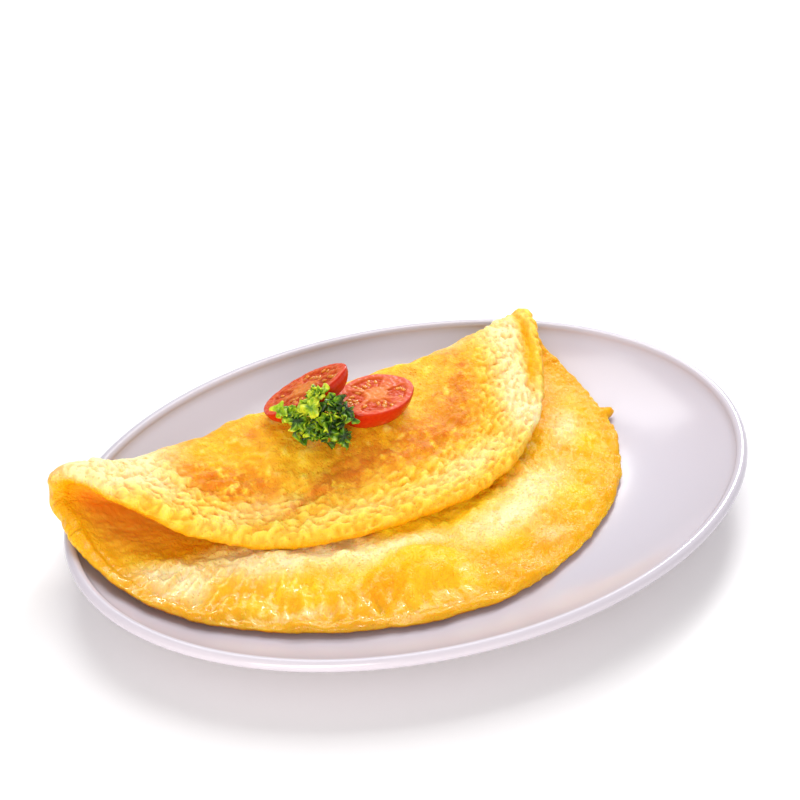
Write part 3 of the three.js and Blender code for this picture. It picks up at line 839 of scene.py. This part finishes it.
def seed_mesh(size):
    """Flat teardrops in the chambers: a sphere's grid, pinched towards one end and pressed thin."""
    random = np.random.default_rng(size["seed"])
    angle = random.uniform(0, 2 * np.pi, SEED_TRIES)
    share = random.uniform(*SEED_SHARES, SEED_TRIES)
    chosen = chamber_depth(share, angle, size["turn"]) > 0.6
    angle, share = angle[chosen][:SEEDS_MOST], share[chosen][:SEEDS_MOST]
    x, y, z = [column[:, None] for column in slice_points(share, angle, size)]
    around = np.linspace(0, 2 * np.pi, 10, endpoint=False)
    tilt = np.linspace(0, np.pi, 8)[1:-1, None]
    half_length, half_width, half_height = SEED_HALF_SIZES
    body_y = half_width * np.sin(tilt) * np.cos(around) * (1 - SEED_PINCH * np.cos(tilt))
    body_z = half_height * np.sin(tilt) * np.sin(around)
    body_x = np.broadcast_to(half_length * np.cos(tilt), body_y.shape)
    rings = np.stack([body_x, body_y, body_z], -1)
    body, faces = closed_body([half_length, 0, 0], rings, [-half_length, 0, 0])
    way = (angle + random.uniform(-0.6, 0.6, len(angle)))[:, None]
    bx, by, bz = body.T
    turned_x, turned_y = bx * np.cos(way) - by * np.sin(way), bx * np.sin(way) + by * np.cos(way)
    return joined([(seed, faces) for seed in np.stack([x + turned_x, y + turned_y, z + bz], -1)])


tomato_flesh, tomato_seeds = ripe_tomato(), tomato_seed_coat()
for side, size in SLICES.items():
    axes, centre = placement(size["centre"], size["normal"], size["along"])
    points, faces, marks = slice_mesh(size)
    piece = new_piece(f"tomato_{side}_flesh", points @ axes + centre, faces, tomato_flesh,
                      f"tomato_{side}", [f"tomato_slice_{side}"])
    for name, values in marks.items():
        store(piece, name, values)
    points, faces = seed_mesh(size)
    new_piece(f"tomato_{side}_seeds", points @ axes + centre, faces, tomato_seeds, f"tomato_{side}")


# Parsley sprig
# A fresh sprig of curly parsley. Each leaflet is a thin blade whose edge has grown longer than it can lie
# flat, so it ruffles. Short juicy stalks join them at one node.

SPRIG_JOINT = np.array([-24.7, 21.2, 37.6])
LEAFLETS = [
    ((-28.9, 22.2, 54.3), (-0.3, -0.8, 0.5), 4.6), ((-33.2, 19.8, 51.1), (-0.7, -0.6, 0.4), 4.8),
    ((-23.3, 18.5, 49.9), (0.5, -0.8, 0.4), 5.2), ((-26.8, 19.7, 45.5), (0, -0.8, 0.6), 5.4),
    ((-20.0, 15.3, 44.6), (0.7, -0.6, 0.4), 4.4), ((-38.6, 24.3, 47.9), (-0.7, -0.4, 0.6), 4.4),
    ((-36.9, 22.0, 44.6), (-0.4, -0.6, 0.7), 4.6), ((-34.0, 20.7, 39.6), (-0.4, -0.7, 0.6), 4.6),
    ((-28.2, 17.7, 38.8), (0, -0.8, 0.6), 4.8), ((-21.0, 15.9, 38.2), (0.4, -0.7, 0.6), 4.8),
]
BLADES_EACH = 6
BLADE_STATIONS = 54
BLADE_RINGS = 7
BLADE_THICKNESS = 0.35
BLADE_SIZES = (0.46, 0.74)
RUFFLE_HEIGHT = 0.36
SADDLE_HEIGHT = 0.22
DROOP = 0.3
STALK_RADII = (0.85, 0.5)
STALK_SAG = 1.2
STALK_TONE = 0.8

# The sprig's tone is painted lighter up and to the left of this x and z, where the lamps reach it: tone for
# each millimetre.
LIT_FROM = (-32.0, 46.0)
TONE_LEFTWARD = 0.02
TONE_UPWARD = 0.01


def blade_mesh(radius, lobes, phase):
    """One ruffled blade as a thin closed skin. Its reach swings with the lobes, and its height is a ruffle,
    a saddle and a droop that grow with the square of the way out."""
    angle = np.linspace(0, 2 * np.pi, BLADE_STATIONS, endpoint=False)
    share = np.linspace(0.14, 1, BLADE_RINGS)[:, None]
    lobe = 1 + share**2 * (0.3 * np.cos(lobes * angle + phase) + 0.08 * np.cos(3 * lobes * angle))
    reach = radius * share * lobe
    ruffle = share**2 * np.sin((lobes + 2) * angle + phase) + 0.4 * share**3 * np.sin((3 * lobes - 1) * angle)
    saddle = share**2 * np.cos(2 * angle)
    height = radius * (RUFFLE_HEIGHT * ruffle + SADDLE_HEIGHT * saddle - DROOP * share**2)
    x, y = reach * np.cos(angle), reach * np.sin(angle)
    half = BLADE_THICKNESS / 2
    top = np.stack([x, y, height + half], -1)
    under = np.stack([x, y, height - half], -1)[::-1]
    return closed_body([0, 0, half], np.concatenate([top, under]), [0, 0, -half])


def sprig_mesh():
    """Every blade of every leaflet, set round the leaflet's middle and facing near its facing, and the tone
    of each point: a random part for each blade, a painted highlight towards its lobes' edges and painted
    light where the sprig is lit."""
    random = np.random.default_rng(71)
    blades, tones = [], []
    for at, facing, radius in LEAFLETS:
        light = TONE_LEFTWARD * (LIT_FROM[0] - at[0]) + TONE_UPWARD * (at[2] - LIT_FROM[1])
        for _ in range(BLADES_EACH):
            normal = np.array(facing) + random.normal(0, 0.6, 3)
            shift = random.normal(0, 0.3, 3) * radius
            axes, middle = placement(at, normal, random.normal(0, 1, 3))
            size = radius * random.uniform(*BLADE_SIZES)
            points, faces = blade_mesh(size, int(random.integers(3, 6)), random.uniform(0, 6.28))
            blades.append((points @ axes + middle + shift, faces))
            outer = np.hypot(*points[:, :2].T) / size
            # Painted highlight towards each blade's edge, painted shade at its middle, and painted light
            # where the lamps reach.
            tones.append(0.5 * random.uniform(0, 1) + 0.4 * outer + light)
    return *joined(blades), np.concatenate(tones)


def parsley_leaf():
    """Fresh leaf tissue: a waxy skin over green flesh that lets light through. Its tone is painted lighter
    towards the lobes' edges as a highlight and darker in each blade's middle as shade.
    """
    material, tree, output = new_material("fresh curly parsley leaf")
    place = add(tree, "TexCoord").outputs["Object"]
    tone = add(tree, "Attribute", attribute_name="tone", attribute_type="GEOMETRY").outputs["Fac"]
    veins = add(tree, "TexNoise", {"Vector": place, "Scale": 1 / (2.2 * MM), "Detail": 2.0}).outputs["Fac"]
    lightness = add(tree, "Math", {0: tone, 1: 0.9, 2: -0.45}, operation="MULTIPLY_ADD")
    lightness = add(tree, "Math", {0: veins, 1: lightness}, operation="ADD", use_clamp=True)
    tint = add(tree, "ValToRGB", {"Fac": lightness}, [
        (0.3, linear("#1E3A08")),
        (0.5, linear("#4F7E0E")),
        (0.72, linear("#9CBC1C")),
        (0.92, linear("#D0DC34")),
    ])
    bump = add(tree, "Bump", {"Height": veins, "Strength": 0.5, "Distance": 0.3 * MM})
    shader = add(tree, "BsdfPrincipled", {
        "Base Color": tint,
        "Roughness": 0.38,
        "Normal": bump,
        "IOR": 1.45,
        "Subsurface Weight": 0.25,
        "Subsurface Radius": (0.5, 1.0, 0.15),
        "Subsurface Scale": 1.0 * MM,
    })
    tree.links.new(shader.outputs[0], output.inputs["Surface"])
    return material


def stalk_mesh():
    """A round stalk from the joint to each leaflet, tapering evenly and sagging by half a sine on its way."""
    along = np.linspace(0, 1, 10)[:, None, None]
    around = np.linspace(0, 2 * np.pi, 10, endpoint=False)[None, :, None]
    radius = STALK_RADII[0] + (STALK_RADII[1] - STALK_RADII[0]) * along
    sag = np.array([0, 0, STALK_SAG]) * np.sin(np.pi * along)
    bodies = []
    for at, _, _ in LEAFLETS:
        run = np.array(at) - SPRIG_JOINT
        way = run / np.linalg.norm(run)
        side = np.cross(way, (0, 0, 1))
        side /= np.linalg.norm(side)
        middle = SPRIG_JOINT + run * along - sag
        rings = middle + radius * (np.cos(around) * side + np.sin(around) * np.cross(way, side))
        bodies.append(closed_body(SPRIG_JOINT, rings, np.array(at)))
    return joined(bodies)


leaf_green = parsley_leaf()
points, faces, tone = sprig_mesh()
leaves = new_piece("parsley_leaves", points, faces, leaf_green, "parsley", ["parsley_sprig"])
store(leaves, "tone", tone)
points, faces = stalk_mesh()
stalks = new_piece("parsley_stalks", points, faces, leaf_green, "parsley")
store(stalks, "tone", np.full(len(points), STALK_TONE))


# Studio
# A flat sheet of seamless white paper under one large soft lamp overhead, with small fills at the front and
# a window's glint at the back right. A long lens looks down on the front left of the plate.

FLOOR_REACH = 6000.0
STUDIO_LIGHT = 0.5


def seamless_paper():
    """Matt white background paper, too smooth to show grain from here."""
    material, tree, output = new_material("seamless white paper")
    shader = add(tree, "BsdfPrincipled", {"Base Color": linear("#F6F5F6"), "Roughness": 0.9})
    tree.links.new(shader.outputs[0], output.inputs["Surface"])
    return material


corners = np.array([[-1, -1, 0], [1, -1, 0], [1, 1, 0], [-1, 1, 0]]) * FLOOR_REACH
floor_mesh = bpy.data.meshes.new("floor")
floor_mesh.from_pydata((corners * MM).tolist(), [], [[0, 1, 2, 3]])
floor_mesh.materials.append(seamless_paper())
floor = bpy.data.objects.new("floor", floor_mesh)
bpy.context.scene.collection.objects.link(floor)

world = bpy.data.worlds.new("studio")
bpy.context.scene.world = world
world.use_nodes = True
world.node_tree.nodes["Background"].inputs["Color"].default_value = linear("#F4F6FA")
world.node_tree.nodes["Background"].inputs["Strength"].default_value = STUDIO_LIGHT
bpy.context.scene.view_settings.view_transform = "Standard"

# Name, place, target and width in metres, power in watts and colour.
LAMPS = [
    ("overhead_softbox", (0.3, 0.5, 1.0), (0, 0, 0.02), 0.8, 8.5, "#FFFFFF"),
    ("camera_side_fill", (-0.55, -0.78, 0.46), (0, 0, 0.02), 0.35, 4.3, "#FFF8F0"),
    ("low_front_fill", (-0.75, -0.75, 0.16), (0, 0, 0.02), 0.4, 2.6, "#FFF4E8"),
    ("fold_mouth_fill", (-0.42, -0.34, 0.1), (-0.1, -0.03, 0.02), 0.14, 0.55, "#FFF4E8"),
    ("glint_window", (0.74, 0.5, 0.57), (0, 0, 0.02), 0.23, 4.8, "#FFFFFF"),
]


def aim(thing, place, target):
    """Puts a lamp or camera at a place, looking at a target with its top upright: its axes are the sight
    line, the level line across it and the line square to both."""
    sight = np.array(target) - np.array(place)
    sight /= np.linalg.norm(sight)
    right = np.cross(sight, (0, 0, 1))
    right /= np.linalg.norm(right)
    up = np.cross(right, sight)
    turned = np.eye(4)
    turned[:3] = np.stack([right, up, -sight, place], 1)
    thing.matrix_world = Matrix(turned.tolist())


for name, place, target, size, power, colour in LAMPS:
    lamp = bpy.data.lights.new(name, "AREA")
    lamp.size = size
    lamp.energy = power
    lamp.color = linear(colour)[:3]
    lamp_object = bpy.data.objects.new(name, lamp)
    bpy.context.scene.collection.objects.link(lamp_object)
    aim(lamp_object, place, target)

# The camera's distance from the middle of the rim is in metres, and its aim to the right of that and above
# it in radians.
CAMERA_DISTANCE = 0.8
CAMERA_ELEVATION = np.radians(33.5)
CAMERA_TURN = np.radians(-35.697)
AIM_RIGHT = -0.0076077
AIM_UP = 0.0339196
LENS = 98.17
SENSOR = 36.0
RIM_MIDDLE = (-1.7, -2.3, RIM_HEIGHT)

rim_middle = np.array(RIM_MIDDLE) * MM
back = np.array([
    np.sin(CAMERA_TURN) * np.cos(CAMERA_ELEVATION),
    -np.cos(CAMERA_TURN) * np.cos(CAMERA_ELEVATION),
    np.sin(CAMERA_ELEVATION),
])
camera_right = np.array([np.cos(CAMERA_TURN), np.sin(CAMERA_TURN), 0])
camera_up = np.cross(back, camera_right)
camera_place = rim_middle + CAMERA_DISTANCE * back
sight = -back + np.tan(AIM_RIGHT) * camera_right + np.tan(AIM_UP) * camera_up
camera_data = bpy.data.cameras.new("camera")
camera_data.lens = LENS
camera_data.sensor_width = SENSOR
camera = bpy.data.objects.new("camera", camera_data)
bpy.context.scene.collection.objects.link(camera)
aim(camera, camera_place, camera_place + sight)
bpy.context.scene.camera = camera

bpy.context.view_layer.update()
